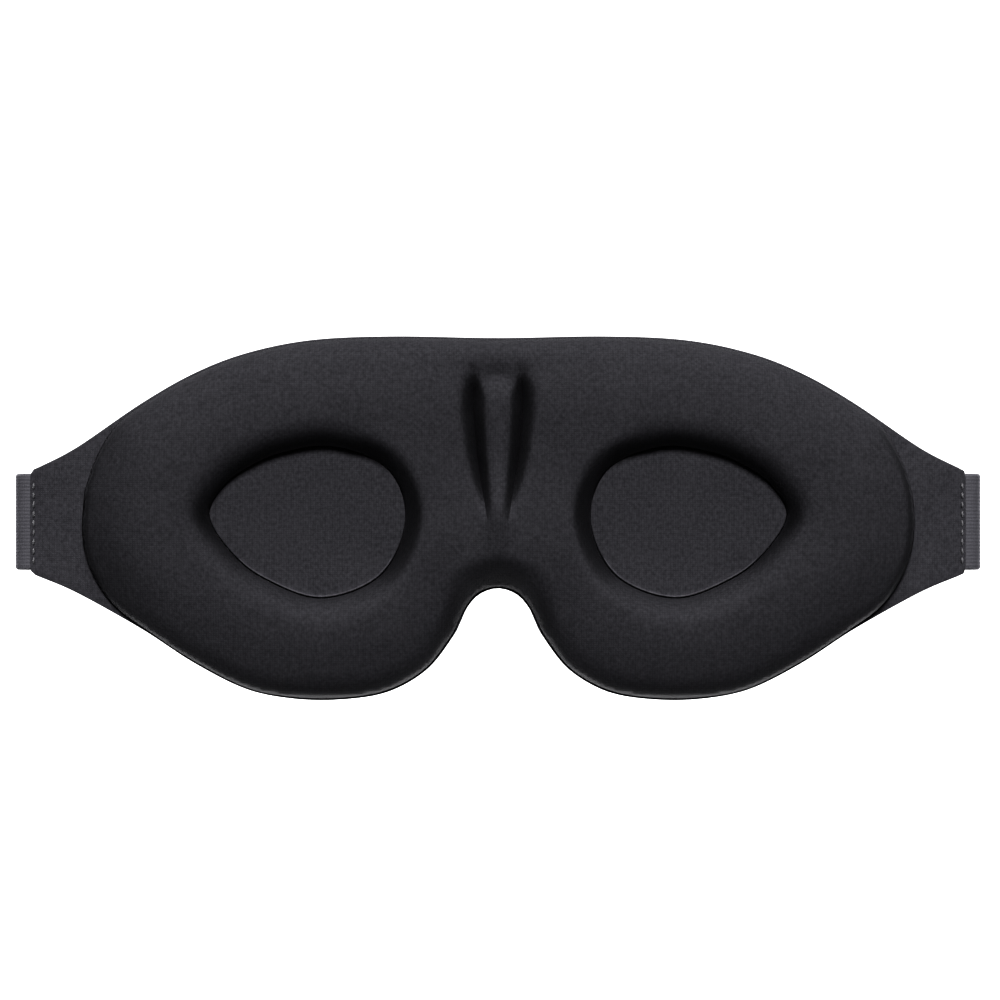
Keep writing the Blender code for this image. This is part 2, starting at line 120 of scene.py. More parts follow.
# ---- nose ridge and the grooves beside it, (z, value) where a value changes with the height --------------
GROOVE_DEPTH = 6.6
GROOVE_LOW, GROOVE_LOW_FADE, GROOVE_HIGH, GROOVE_HIGH_FADE = -1.5, 17.0, 40.0, 10.0
GROOVE_AT = [(1, 2.7), (5, 3.3), (10, 4.2), (17, 5.2), (27, 6.0), (36, 5.7)]
GROOVE_INNER = [(2, 1.8), (10, 2.4), (17, 2.9), (27, 3.4), (36, 3.5)]
GROOVE_OUTER = [(2, 2.3), (10, 3.2), (17, 4.0), (27, 5.2), (36, 5.2)]
INNER_POWER, OUTER_POWER = 1.7, 2.6
CREASE_TOP, CREASE_END = 37.0, -2.5
ARCH_Z, ARCH_RADIUS, ARCH_WIDTH, ARCH_DEPTH = 30.0, 5.6, 2.3, 1.2
RIDGE_HEIGHT, RIDGE_WIDTH, RIDGE_LOW, RIDGE_HIGH = 1.0, 2.9, -4.0, 36.0
BRIDGE_HEIGHT, BRIDGE_WIDTH, BRIDGE_Z, BRIDGE_LENGTH = 1.9, 3.4, 0.5, 7.5

# ---- cavity floors: the bead along the rim as (inset, depth behind the floor's face) ---------------------
BEAD = [(0.0, 0.4), (0.03, 0.1), (0.1, -0.2), (0.22, -0.38), (0.36, -0.45), (0.5, -0.4), (0.64, -0.27),
        (0.8, -0.12), (1.1, -0.03), (1.6, 0.0)]
BEAD_LEAST, GLAZED_HIGHLIGHT_ABOVE, DISH = 0.15, 0.25, 0.25

# ---- panel sizes -----------------------------------------------------------------------------------------
CLOTH = 0.5
WING_FROM, WING_LENGTH, WING_BEND, WING_WRINKLE = 80.0, 36.0, 5.0, 0.12
SEAM_IN, SEAM_WIDTH, SEAM_DEPTH = 3.0, 0.6, 0.4
SWELL, SWELL_REACH, SWELL_TO, SWELL_FADE = 2.4, 15.0, 107.0, 26.0
CREASE_SHARE, CREASE_WIDTH = 0.45, 12.0
CORE_IN, CORE_TO, CORE_THICK = 0.9, 104.4, 1.3
SIM_FRAMES = 20

# ---- strap sizes -----------------------------------------------------------------------------------------
BAND, BAND_HALF, SELVEDGE, SECTION_STEPS = 1.0, 11.9, 0.7, 56
RIB, RIB_RISE = 0.85, 0.035
LAYER_GAP = 0.3
STRAP_FROM, SIDE, CORNER, TURN = 113.0, 119.5, 3.0, 34.0
SWING_Y = 1000 * frame["joints"][0]["pos_m"][1]
BACK_Y = 74.0
RING_LOW, RING_HIGH = cad("ring")
WIRE = (RING_HIGH[1] - RING_LOW[1]) / 2
RING_LEFT, RING_RIGHT = RING_LOW[0] + WIRE, RING_HIGH[0] - WIRE
WRAP = WIRE + LAYER_GAP + BAND / 2
SLIDER_X = (cad("slider")[0][0] + cad("slider")[1][0]) / 2
BAR_THICK = 1.6
LOOP_WRAP = BAR_THICK / 2 + LAYER_GAP + BAND / 2
LOOP_Y = BACK_Y - BAND - LAYER_GAP - LOOP_WRAP


# ---- lines and regions -----------------------------------------------------------------------------------
def spline(points, steps=8, closed=False):
    """Smooth line through the points."""
    p = np.array(points, float)
    before, after = (p[-1:], p[:2]) if closed else (2 * p[:1] - p[1:2], 2 * p[-1:] - p[-2:-1])
    q = np.vstack([before, p, after])
    line = []
    for a, b, c, d in zip(q, q[1:], q[2:], q[3:]):
        square, cube = 2 * a - 5 * b + 4 * c - d, 3 * b - a - 3 * c + d
        for t in np.arange(steps) / steps:
            line.append(b + ((c - a) * t + square * t**2 + cube * t**3) / 2)
    return np.array(line if closed else line + [p[-1]])


def both_sides(points):
    """The right half's points, with their mirror images before them."""
    return [(-x, z) for x, z in points if x > 0][::-1] + points


def evened(loop, gap):
    """The closed loop with its points spread evenly, about gap apart."""
    sides = np.vstack([loop, loop[:1]])
    run = np.concatenate([[0], np.cumsum(np.linalg.norm(np.diff(sides, axis=0), axis=1))])
    at = np.linspace(0, run[-1], max(8, round(run[-1] / gap)) + 1)[:-1]
    return np.stack([np.interp(at, run, sides[:, i]) for i in (0, 1)], 1)


def inset(loop, gap):
    """The loop moved to its own inside by gap, point by point."""
    ahead = np.roll(loop, -1, 0) - loop
    ahead /= np.linalg.norm(ahead, axis=1)[:, None]
    way = ahead + np.roll(ahead, 1, 0)
    way /= np.linalg.norm(way, axis=1)[:, None]
    x, z = loop.T
    side = np.sign(np.sum(x * np.roll(z, -1) - z * np.roll(x, -1)))
    return loop + side * gap * np.stack([-way[:, 1], way[:, 0]], 1)


def inside(points, loop):
    """Which of the points lie inside the loop."""
    x, z = np.asarray(points).T
    found = np.zeros(len(x), bool)
    for (x1, z1), (x2, z2) in zip(loop, np.roll(loop, -1, 0)):
        if z1 != z2:
            found ^= ((z1 > z) != (z2 > z)) & (x < (x2 - x1) * (z - z1) / (z2 - z1) + x1)
    return found


def distance(points, loop):
    """From each point to the nearest side of the loop."""
    a, b = loop, np.roll(loop, -1, 0)
    best = np.full(len(points), 1e9)
    for start, side in zip(a, b - a):
        share = np.clip((points - start) @ side / (side @ side), 0, 1)
        best = np.minimum(best, np.linalg.norm(points - start - share[:, None] * side, axis=1))
    return best


def region(loops, spacing, lines=()):
    """Triangles between the first loop and the others, along the lines too, with one index ring per loop."""
    x = np.arange(-120, 121, spacing)
    rows = [np.stack([x + spacing / 2 * (n % 2), np.full_like(x, z)], 1)
            for n, z in enumerate(np.arange(-50, 51, spacing * 0.866))]
    grid = np.vstack(rows)
    keep = inside(grid, loops[0])
    for hole in loops[1:]:
        keep &= ~inside(grid, hole)
    grid = grid[keep]
    for loop in loops:
        grid = grid[distance(grid, loop) > spacing * 0.55]
    for line in lines:
        gap = np.linalg.norm(grid[:, None] - line[None], axis=2).min(1)
        grid = grid[gap > spacing * 0.6]
    points = np.vstack([*loops, *lines, grid])
    rings, start = [], 0
    for loop in loops:
        rings.append(np.arange(start, start + len(loop)))
        start += len(loop)
    edges = [(int(a), int(b)) for ring in rings for a, b in zip(ring, np.roll(ring, -1))]
    for line in lines:
        edges += [(start + i, start + i + 1) for i in range(len(line) - 1)]
        start += len(line)
    found, _, faces, *_ = delaunay_2d_cdt([tuple(map(float, p)) for p in points], edges, [], 0, 1e-7)
    assert len(found) == len(points)
    middle = points[np.array([list(f) for f in faces])].mean(1)
    good = inside(middle, loops[0])
    for hole in loops[1:]:
        good &= ~inside(middle, hole)
    return points, [tuple(f) for f, ok in zip(faces, good) if ok], rings


class Shape:
    """Points and faces of one solid."""

    def __init__(self):
        self.points, self.faces = [], []

    def sheet(self, points, depth, faces=()):
        """Adds points at y = depth with their faces, and gives the first one's index."""
        start = len(self.points)
        self.points += [(x, y, z) for (x, z), y in zip(points, np.broadcast_to(depth, len(points)))]
        self.faces += [tuple(start + i for i in f) for f in faces]
        return start

    def ring(self, points, depth):
        """Adds points at y = depth and gives their indices."""
        return self.sheet(points, depth) + np.arange(len(points))

    def wall(self, a, b):
        """Quads between two rings of the same length."""
        for a1, a2, b1, b2 in zip(a, np.roll(a, -1), b, np.roll(b, -1)):
            self.faces.append((int(a1), int(a2), int(b2), int(b1)))


def piece(name, points, faces, look, uv=None):
    """A smooth mesh object, in metres, with one material."""
    mesh = bpy.data.meshes.new(name)
    mesh.from_pydata([tuple(np.array(p) * MM) for p in points], [], faces)
    if uv is not None:
        layer = mesh.uv_layers.new(name="weave")
        for loop in mesh.loops:
            layer.data[loop.index].uv = uv[loop.vertex_index]
    bm = bmesh.new()
    bm.from_mesh(mesh)
    bmesh.ops.recalc_face_normals(bm, faces=bm.faces)
    bm.to_mesh(mesh)
    bm.free()
    mesh.shade_smooth()
    made = bpy.data.objects.new(name, mesh)
    mesh.materials.append(look)
    bpy.context.scene.collection.objects.link(made)
    return made


def smooth(t):
    """From 0 to 1 and level at both ends."""
    t = np.clip(t, 0, 1)
    return t * t * (3 - 2 * t)


def rise(t):
    """From 0 to 1 and level at the end, as a quarter circle."""
    return np.sqrt(np.clip(1 - (1 - np.clip(t, 0, 1)) ** 2, 0, 1))


def crown(t):
    """From 0 to 1 and level at the end, as a parabola."""
    return 1 - (1 - np.clip(t, 0, 1)) ** 2


def unevenness(points, size, seed):
    """Soft random height from -1 to 1, with bumps of about that size."""
    return np.array([noise.noise(Vector((x / size, z / size, seed))) for x, z in points])


def bend(points):
    """How far the wings curve away from the face."""
    return WING_BEND * (np.clip(np.abs(points[:, 0]) - WING_FROM, 0, None) / WING_LENGTH) ** 2


# ---- materials -------------------------------------------------------------------------------------------
class Nodes:
    """Short calls for building a material's nodes."""

    def __init__(self, name):
        self.material = bpy.data.materials.new(name)
        self.material.use_nodes = True
        self.tree = self.material.node_tree
        self.shader = self.tree.nodes["Principled BSDF"]
        self.coords = self.tree.nodes.new("ShaderNodeTexCoord").outputs["Object"]

    def add(self, kind, values=(), **settings):
        """A node with its inputs linked or set, and its own settings."""
        node = self.tree.nodes.new("ShaderNode" + kind)
        for key, value in settings.items():
            setattr(node, key, value)
        for key, value in dict(values).items():
            if isinstance(value, bpy.types.NodeSocket):
                self.tree.links.new(value, node.inputs[key])
            else:
                node.inputs[key].default_value = value
        return node

    def math(self, operation, a, b=0.0):
        return self.add("Math", {0: a, 1: b}, operation=operation).outputs[0]

    def noise(self, size, detail=2.0, coords=None):
        """Random grey with bumps of about that many millimetres."""
        values = {"Vector": coords or self.coords, "Scale": 1 / (size * MM), "Detail": detail,
                  "Roughness": 0.6}
        return self.add("TexNoise", values).outputs["Fac"]

    def bands(self, direction, period, distortion=0.0, coords=None):
        """Soft stripes that far apart, in millimetres."""
        values = {"Vector": coords or self.coords, "Scale": 2 * math.pi / (20 * period * MM),
                  "Distortion": distortion, "Detail": 1.0}
        return self.add("TexWave", values, bands_direction=direction).outputs["Fac"]

    def mix(self, fac, a, b):
        node = self.tree.nodes.new("ShaderNodeMix")
        node.data_type = "RGBA"
        for index, value in ((0, fac), (6, a), (7, b)):
            if isinstance(value, bpy.types.NodeSocket):
                self.tree.links.new(value, node.inputs[index])
            else:
                node.inputs[index].default_value = value
        return node.outputs[2]

    def ramp(self, fac, low, high):
        """0 below low, 1 above high."""
        return self.add("MapRange", {"Value": fac, "From Min": low, "From Max": high}).outputs["Result"]

    def shade(self, color, height, strength, depth, rough, **plain):
        """Colour, roughness and bump from nodes, and plain numbers on the shader's own sockets.

        depth is the bump's, in millimetres. rough is (value, roughness where it is 0, roughness where it is
        1)."""
        self.tree.links.new(color, self.shader.inputs["Base Color"])
        share, low, high = rough
        roughness = self.add("MapRange", {"Value": share, "To Min": low, "To Max": high}).outputs["Result"]
        self.tree.links.new(roughness, self.shader.inputs["Roughness"])
        bump = self.add("Bump", {"Height": height, "Strength": strength, "Distance": depth * MM})
        self.tree.links.new(bump.outputs["Normal"], self.shader.inputs["Normal"])
        for key, value in plain.items():
            self.shader.inputs[key.replace("_", " ").title().replace("Ior", "IOR")].default_value = value
        return self.material


def grey(value, blue=0.0):
    """Nearly neutral colour with a trace of blue."""
    return (value, value * 0.98, value * (1 + blue), 1)


def knit(name, tone, pitch=0.6, fuzz=0.45, sheen=0.25, strength=0.55, rough=(0.78, 0.98), painted_wall_shade=0.0):
    """Fine moulded knit: loops in columns and rows, with speckled fuzz over them.

    Walls that face down or sideways get painted shade: their colour is darkened towards near black, up to the
    share given, to stand in for the shade that falls on them."""
    n = Nodes(name)
    columns = n.bands("X", pitch, 0.6)
    rows = n.bands("Z", pitch * 0.8, 0.6)
    loops = n.math("MULTIPLY", columns, rows)
    speckle = n.noise(pitch * 1.5, 3.0)
    grain = n.math("ADD", n.math("MULTIPLY", loops, 0.18), speckle)
    soft = n.noise(14.0, 2.0)
    light = n.ramp(grain, 0.32, 0.86)
    yarn = n.mix(light, grey(tone * (1 - fuzz), 0.1), grey(tone * (1 + 1.5 * fuzz), 0.08))
    worn = n.mix(n.ramp(soft, 0.35, 0.7), grey(tone * 0.9, 0.1), grey(tone * 1.12, 0.08))
    color = n.mix(0.35, yarn, worn)
    # painted shade: the colour darkens on walls that face sideways or down, read from the surface normal
    if painted_wall_shade:
        facing = n.add("SeparateXYZ", {0: n.add("TexCoord").outputs["Normal"]}).outputs
        steep = n.math("MAXIMUM", n.math("ABSOLUTE", facing["X"]), n.math("MULTIPLY", facing["Z"], -0.92))
        wall_shade = n.add("MapRange", {"Value": steep, "From Min": 0.5, "From Max": 1.0, "To Max": painted_wall_shade},
                     interpolation_type="SMOOTHSTEP").outputs["Result"]
        color = n.mix(wall_shade, color, grey(tone * 0.15, 0.1))
    return n.shade(color, grain, strength, 0.18, (speckle, *rough), sheen_weight=sheen, sheen_roughness=0.45,
                   sheen_tint=grey(0.6, 0.1), specular_ior_level=0.14)


def woven(name, tone, pitch=0.45, sheen=0.3):
    """Plain weave: over-and-under threads, a little smoother than the knit."""
    n = Nodes(name)
    warp = n.bands("X", pitch, 0.2)
    weft = n.bands("Z", pitch, 0.2)
    over = n.math("GREATER_THAN", n.math("ADD", n.bands("X", pitch * 2), n.bands("Z", pitch * 2)), 1.0)
    weave = n.math("ADD", n.math("MULTIPLY", warp, over),
                   n.math("MULTIPLY", weft, n.math("SUBTRACT", 1.0, over)))
    speckle = n.noise(0.8, 3.0)
    height = n.math("ADD", n.math("MULTIPLY", weave, 0.6), n.math("MULTIPLY", speckle, 0.4))
    color = n.mix(n.ramp(height, 0.15, 0.85), grey(tone * 0.72, 0.2), grey(tone * 1.35, 0.16))
    color = n.mix(n.math("MULTIPLY", n.noise(22.0, 2.0), 0.35), color, grey(tone * 1.25, 0.18))
    return n.shade(color, height, 0.5, 0.12, (speckle, 0.6, 0.85), sheen_weight=sheen, sheen_roughness=0.35,
                   sheen_tint=grey(0.6, 0.1), specular_ior_level=0.3)


def elastic(name, tone):
    """Knitted elastic: fine cords along its length with yarn laid across, from the weave coordinates."""
    n = Nodes(name)
    place = n.add("UVMap", uv_map="weave").outputs["UV"]
    ribs = n.bands("Y", RIB, 0.0, place)
    yarn = n.bands("X", 0.45, 0.8, place)
    fluff = n.noise(0.6, 3.0, place)
    height = n.math("ADD", n.math("MULTIPLY", ribs, 0.4),
                    n.math("ADD", n.math("MULTIPLY", yarn, 0.2), n.math("MULTIPLY", fluff, 0.4)))
    color = n.mix(n.ramp(height, 0.2, 0.8), grey(tone * 0.72, 0.12), grey(tone * 1.25, 0.1))
    worn = n.mix(n.ramp(n.noise(9.0, 3.0, place), 0.4, 0.75), grey(tone * 0.85, 0.1), grey(tone * 1.15, 0.1))
    return n.shade(n.mix(0.35, color, worn), height, 0.5, 0.2, (fluff, 0.55, 0.85), sheen_weight=0.3,
                   sheen_roughness=0.4, sheen_tint=grey(0.7, 0.05), specular_ior_level=0.35)


def twisted_thread(name, tone):
    """Polyester sewing thread with its twist."""
    n = Nodes(name)
    turned = n.add("Mapping", {"Vector": n.coords, "Rotation": (0.5, 0.6, 0.4)}).outputs["Vector"]
    twist = n.bands("DIAGONAL", 0.22, 0.3, turned)
    color = n.mix(twist, grey(tone * 0.6, 0.05), grey(tone * 1.3, 0.05))
    return n.shade(color, twist, 0.7, 0.06, (twist, 0.4, 0.6), sheen_weight=0.2, sheen_roughness=0.3)


def foam(name, tone):
    """Cut edge of open-cell foam."""
    n = Nodes(name)
    cells = n.add("TexVoronoi", {"Vector": n.coords, "Scale": 1 / (0.5 * MM)}).outputs["Distance"]
    color = n.mix(n.ramp(cells, 0.1, 0.6), grey(tone * 1.3), grey(tone * 0.5))
    return n.shade(color, cells, 0.8, 0.2, (cells, 0.85, 1.0))


def moulded(name, tone):
    """Satin moulded plastic with a fine spark texture and handling marks."""
    n = Nodes(name)
    spark = n.noise(0.25, 3.0)
    marks = n.noise(5.0, 4.0)
    color = n.mix(marks, grey(tone * 0.8), grey(tone * 1.4))
    return n.shade(color, spark, 0.25, 0.03, (marks, 0.28, 0.5), specular_ior_level=0.5)


# the pad's knit carries painted shade on its sideways and downward-facing walls
PAD_KNIT = knit("pad_knit", 0.029, sheen=0.02, painted_wall_shade=0.7)
FLOOR_KNIT = knit("floor_knit", 0.036, sheen=0.02, strength=0.4)
# glazed knit: smoother than the floor's, and painted lighter as a highlight along the lower rim of each
# cavity floor
GLAZED_HIGHLIGHT_KNIT = knit("glazed_highlight_knit", 0.05, sheen=0.1, strength=0.3, rough=(0.42, 0.55))
WING_KNIT = knit("wing_knit", 0.037, sheen=0.06)
COVER_WEAVE = woven("cover_weave", 0.045)
BAND_ELASTIC = elastic("band_elastic", 0.055)
THREAD = twisted_thread("light_thread", 0.075)
FOAM = foam("foam_edge", 0.05)
PLASTIC = moulded("satin_plastic", 0.03)


# ---- pad -------------------------------------------------------------------------------------------------
edge = evened(np.vstack([spline(both_sides(TOP)), spline(both_sides(BOTTOM))[::-1]]), EDGE_MESH)
pad_edge = evened(np.vstack([spline(both_sides(PAD_TOP) + [PAD_BOTTOM[-1]]),
                             spline(both_sides(PAD_BOTTOM))[::-1][1:-1]]), PAD_EDGE_MESH)
eye_right = evened(spline(EYE, closed=True), EYE_MESH)
eyes = [eye_right * (-1, 1), eye_right]


def by_height(z, pairs):
    """Value at that height, from pairs of height and value."""
    return np.interp(z, *zip(*pairs))


def groove_at(z):
    """Half the distance between the bottoms of the two grooves."""
    return by_height(z, GROOVE_AT)


def nose_ridge(x, z):
    """Height of the ridge and of the bridge at its foot, less the grooves and the arch that joins them."""
    off = x - groove_at(z)
    share = np.where(off < 0, -off / by_height(z, GROOVE_INNER), off / by_height(z, GROOVE_OUTER))
    side = np.clip(1 - share, 0, 1)
    depth = GROOVE_DEPTH * smooth((z - GROOVE_LOW) / GROOVE_LOW_FADE)
    depth = depth * smooth((GROOVE_HIGH - z) / GROOVE_HIGH_FADE)
    groove = depth * np.where(off < 0, side**INNER_POWER, side**OUTER_POWER)
    from_arch = np.hypot(x, np.clip(z - ARCH_Z, 0, None)) - ARCH_RADIUS
    arch = ARCH_DEPTH * np.exp(-((from_arch / ARCH_WIDTH) ** 2)) * smooth((z - ARCH_Z + 1) / 5)
    ridge = RIDGE_HEIGHT * smooth((z - RIDGE_LOW) / 8) * smooth((RIDGE_HIGH - z) / 7)
    ridge = ridge * np.exp(-((x / RIDGE_WIDTH) ** 2))
    bridge = BRIDGE_HEIGHT * np.exp(-((x / BRIDGE_WIDTH) ** 2) - ((z - BRIDGE_Z) / BRIDGE_LENGTH) ** 2)
    return ridge + bridge - np.maximum(groove, arch)


def rim_height(points):
    """Height of the pad's very edge over its base, lower at the left end."""
    return RIM + (LEFT_RIM - RIM) * smooth((-points[:, 0] - END_FROM) / END_LENGTH)


def pad_height(points):
    """Height of the pad's skin over its base: the lower of the slopes from its edge and from the cavities."""
    x, z = np.abs(points[:, 0]), points[:, 1]
    out = distance(points, pad_edge)
    lip = np.minimum(*(distance(points, e) for e in eyes))

    end = smooth((x - END_FROM) / END_LENGTH)
    right = points[:, 0] > 0
    rim = rim_height(points)
    roll = EDGE_ROLL + (np.where(right, RIGHT_ROLL, LEFT_ROLL) - EDGE_ROLL) * end
    radius = EDGE_RADIUS + (np.where(right, RIGHT_RADIUS, LEFT_RADIUS) - EDGE_RADIUS) * end
    from_edge = rim + roll * rise(out / radius) + (PAD_DEPTH - rim - roll) * crown(out / EDGE_REACH)

    notch = np.exp(-((x / NOTCH_WIDTH) ** 4)) * smooth((NOTCH_TOP - z) / NOTCH_FADE)
    from_notch = RIM + NOTCH_DROP * (1 - (1 - np.clip(out / NOTCH_REACH, 0, 1)) ** 1.5)
    from_notch = from_notch + (PAD_DEPTH - RIM - NOTCH_DROP) * crown(out / EDGE_REACH)
    from_edge = from_edge + notch * (from_notch - from_edge)

    round_wall = rise(lip / LIP_RADIUS)
    straight_wall = 1 - (1 - np.clip(lip / NOSE_WALL, 0, 1)) ** 1.8
    nose_side = smooth((NOSE_WALL_TO - x) / NOSE_WALL_FADE)
    from_lip = LIP_FOOT + LIP_ROLL * (round_wall + (straight_wall - round_wall) * nose_side)
    from_lip = from_lip + (PAD_DEPTH + LIP_OVER - LIP_FOOT - LIP_ROLL) * crown(lip / LIP_REACH)

    height = -SOFT_MINIMUM * np.log(np.exp(-from_edge / SOFT_MINIMUM) + np.exp(-from_lip / SOFT_MINIMUM))
    relief = NOSE_RELIEF * np.exp(-((x / NOSE_WIDTH) ** 2)) * smooth(out / 8)
    height = height - relief * smooth((z - NOSE_LOW) / NOSE_FADE) + nose_ridge(x, z)
    soft = 0.16 * unevenness(points, 16.0, 3.0) + 0.05 * unevenness(points, 5.0, 8.0)
    return height + soft * smooth(out / 6) * smooth(lip / 5)


def tuck(shape, ring, start):
    """Rolls the pad's edge under to its base, and gives the base's ring of indices and its outline."""
    for into, share in TUCK:
        row = shape.ring(inset(start, into), PAD_BACK - FOOT - share * (rim_height(start) - FOOT))
        shape.wall(ring, row)
        ring = row
    return ring, inset(start, into)


def build_pad():
    """The pad's skin with a closed base, and a sharp line along the bottom of each groove."""
    holes = [inset(e, -HOLE_OUT) for e in eyes]
    around = [inset(e, -out) for e in eyes for out in HOLE_LINES]
    down = np.arange(CREASE_TOP, CREASE_END, -1.0)
    creases = [np.stack([sign * groove_at(down), down], 1) for sign in (-1, 1)]
    points, faces, rings = region([pad_edge] + holes, PAD_MESH, creases + around)
    shape = Shape()
    shape.sheet(points, PAD_BACK - pad_height(points), faces)
    feet = [tuck(shape, rings[0], points[rings[0]])]
    for ring in rings[1:]:
        row = shape.ring(points[ring], PAD_BACK - FOOT)
        shape.wall(ring, row)
        feet.append((row, points[ring]))
    flat, flat_faces, flat_rings = region([outline for _, outline in feet], BASE_MESH)
    base = shape.sheet(flat, PAD_BACK - FOOT, flat_faces)
    for (row, _), ring in zip(feet, flat_rings):
        shape.wall(row, ring + base)
    made = piece("pad", shape.points, shape.faces, PAD_KNIT)
    bm = bmesh.new()
    bm.from_mesh(made.data)
    bm.verts.ensure_lookup_table()
    start = sum(len(ring) for ring in rings)
    for line in creases:
        for i in range(start, start + len(line) - 1):
            bm.edges.get((bm.verts[i], bm.verts[i + 1])).smooth = False
        start += len(line)
    bmesh.ops.remove_doubles(bm, verts=bm.verts, dist=0.002 * MM)
    bmesh.ops.recalc_face_normals(bm, faces=bm.faces)
    bm.to_mesh(made.data)
    bm.free()
    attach(made, "mask")
    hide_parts("pad_skin", "pad_foam")


def rounded_slab(name, loop, grid, near, far, look):
    """Closed sheet over the grid's points from y = near to y = far, with its rim rounded out to the loop."""
    points, faces, rings = grid
    shape = Shape()
    first = shape.sheet(points, near, faces)
    second = shape.sheet(points, far, faces)
    ring = rings[0]
    last = ring + first
    for angle in (30, 60, 90, 120, 150):
        out = math.sin(math.radians(angle))
        share = (1 - math.cos(math.radians(angle))) / 2
        row = shape.ring(points[ring] + (loop - points[ring]) * out, near[ring] + (far - near)[ring] * share)
        shape.wall(last, row)
        last = row
    shape.wall(last, ring + second)
    return piece(name, shape.points, shape.faces, look)


def settled(points, faces, depth, held, room, pressure=6.0, growth=0.008, cap=1.6):
    """Depths after a short cloth simulation that swells the sheet away from -Y between its held points.

    growth is the share by which the cloth is cut too large. A point moves back by at most cap, and forward by
    at most room, which keeps it off the foam core."""
    scene = bpy.context.scene
    mesh = bpy.data.meshes.new("draft")
    start = [(x * MM, y * MM, z * MM) for (x, z), y in zip(points, depth)]
    mesh.from_pydata(start, [], [face[::-1] for face in faces])
    draft = bpy.data.objects.new("draft", mesh)
    scene.collection.objects.link(draft)
    backward = 1 if np.mean([f.normal.y for f in mesh.polygons]) > 0 else -1
    draft.vertex_groups.new(name="held").add([int(i) for i in np.flatnonzero(held)], 1.0, "REPLACE")
    cloth = draft.modifiers.new("cloth", "CLOTH")
    settings = cloth.settings
    settings.quality = 6
    settings.mass = 0.2
    settings.vertex_group_mass = "held"
    settings.use_pressure = True
    settings.uniform_pressure_force = backward * pressure
    settings.shrink_min = -growth
    settings.effector_weights.gravity = 0
    cloth.point_cache.frame_start = 1
    cloth.point_cache.frame_end = SIM_FRAMES
    for step in range(1, SIM_FRAMES + 1):
        scene.frame_set(step)
    shown = draft.evaluated_get(bpy.context.evaluated_depsgraph_get())
    moved = np.array([v.co.y for v in shown.data.vertices]) / MM
    bpy.data.objects.remove(draft)
    scene.frame_set(1)
    return depth + np.clip(moved - depth, -room, cap)


def build_floors():
    """Pressed panels at the bottom of the cavities; the bead along each rim fades out towards the top. The
    bead's crest, tall only on the lower part, gets a smoother knit that is also painted lighter as a
    highlight.
    """
    for side, outline in zip(("left", "right"), eyes):
        loop = evened(outline, BEAD_MESH)
        bead_share = BEAD_LEAST + (1 - BEAD_LEAST) * smooth((-loop[:, 1] - 4) / 9)
        shape = Shape()
        back, back_faces, _ = region([loop], FLOOR_BACK_MESH)
        start = shape.sheet(back, FLOOR_BACK, back_faces)
        last = start + np.arange(len(loop))
        for into, height in BEAD:
            depth = np.where(height < 0, height * bead_share, height)
            row = shape.ring(inset(loop, into), FLOOR_FRONT + depth)
            shape.wall(last, row)
            last = row
        bead_width = BEAD[-1][0]
        inner, faces, rings = region([inset(loop, bead_width + 0.6)], FLOOR_MESH)
        dish = DISH * smooth(distance(inner, inset(loop, bead_width)) / 9)
        dish = dish + 0.05 * unevenness(inner, 9.0, 2.0)
        start = shape.sheet(inner, FLOOR_FRONT + dish, faces)
        shape.wall(last, rings[0] + start)
        made = piece(f"cavity_floor_{side}", shape.points, shape.faces, FLOOR_KNIT)
        # the bead's tall faces, on the lower part, take the lighter knit: a painted highlight as well as a
        # smoother glaze
        made.data.materials.append(GLAZED_HIGHLIGHT_KNIT)
        for face in made.data.polygons:
            back_of_face = 1000 * max(made.data.vertices[v].co.y for v in face.vertices)
            face.material_index = int(back_of_face < FLOOR_FRONT - GLAZED_HIGHLIGHT_ABOVE)
        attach(made, "mask")
        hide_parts(f"eye_floor_{side}")


# ---- panel -----------------------------------------------------------------------------------------------
def cushion(points):
    """How far the front swells, less along the middle crease and none on the wings."""
    out = distance(points, edge)
    swell = smooth((out - 2.0) / SWELL_REACH) * smooth((SWELL_TO - np.abs(points[:, 0])) / SWELL_FADE)
    return SWELL * swell * (1 - CREASE_SHARE * np.exp(-((points[:, 0] / CREASE_WIDTH) ** 2)))


def panel_grid(loop, spacing):
    """Triangles inside the loop, with room for a rounded rim."""
    return region([inset(loop, 0.3)], spacing)


def build_liner():
    """The cloth on the face side, a little wrinkled on the wings."""
    grid = panel_grid(edge, LINER_MESH)
    points = grid[0]
    wrinkles = WING_WRINKLE * unevenness(points, 11.0, 5.0) * smooth((np.abs(points[:, 0]) - 95) / 8)
    near = LINER_FRONT + bend(points) + wrinkles
    made = rounded_slab("liner", edge, grid, near, near + CLOTH, WING_KNIT)
    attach(made, "mask")
    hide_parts("liner_fabric")


def build_core():
    """The foam ends where the strap ends are sewn in."""
    loop = inset(edge, CORE_IN)
    loop = loop[np.abs(loop[:, 0]) < CORE_TO]
    grid = panel_grid(loop, CORE_MESH)
    near = CORE_FRONT + bend(grid[0]) - 0.2
    far = near + CORE_THICK + 0.5 * cushion(grid[0])
    made = rounded_slab("foam_core", loop, grid, near, far, FOAM)
    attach(made, "mask")
    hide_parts("shell_foam")


def build_cover():
    """The front cloth, held along its edge, its seam and its wings, and swollen by the cloth simulation."""
    grid = panel_grid(edge, COVER_MESH)
    points, faces, _ = grid
    out = distance(points, edge)
    across = np.abs(points[:, 0])
    seam = SEAM_DEPTH * np.exp(-(((out - SEAM_IN) / SEAM_WIDTH) ** 2)) * smooth((108 - across) / 6)
    swollen = COVER_FRONT + CLOTH + bend(points) + cushion(points) - seam
    held = (out < SEAM_IN + SEAM_WIDTH) | (across > 106)
    far = settled(points, faces, swollen, held, 0.1 + 0.45 * cushion(points))
    made = rounded_slab("front_cover", edge, grid, far - CLOTH, far, COVER_WEAVE)
    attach(made, "mask")
    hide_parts("outer_fabric")


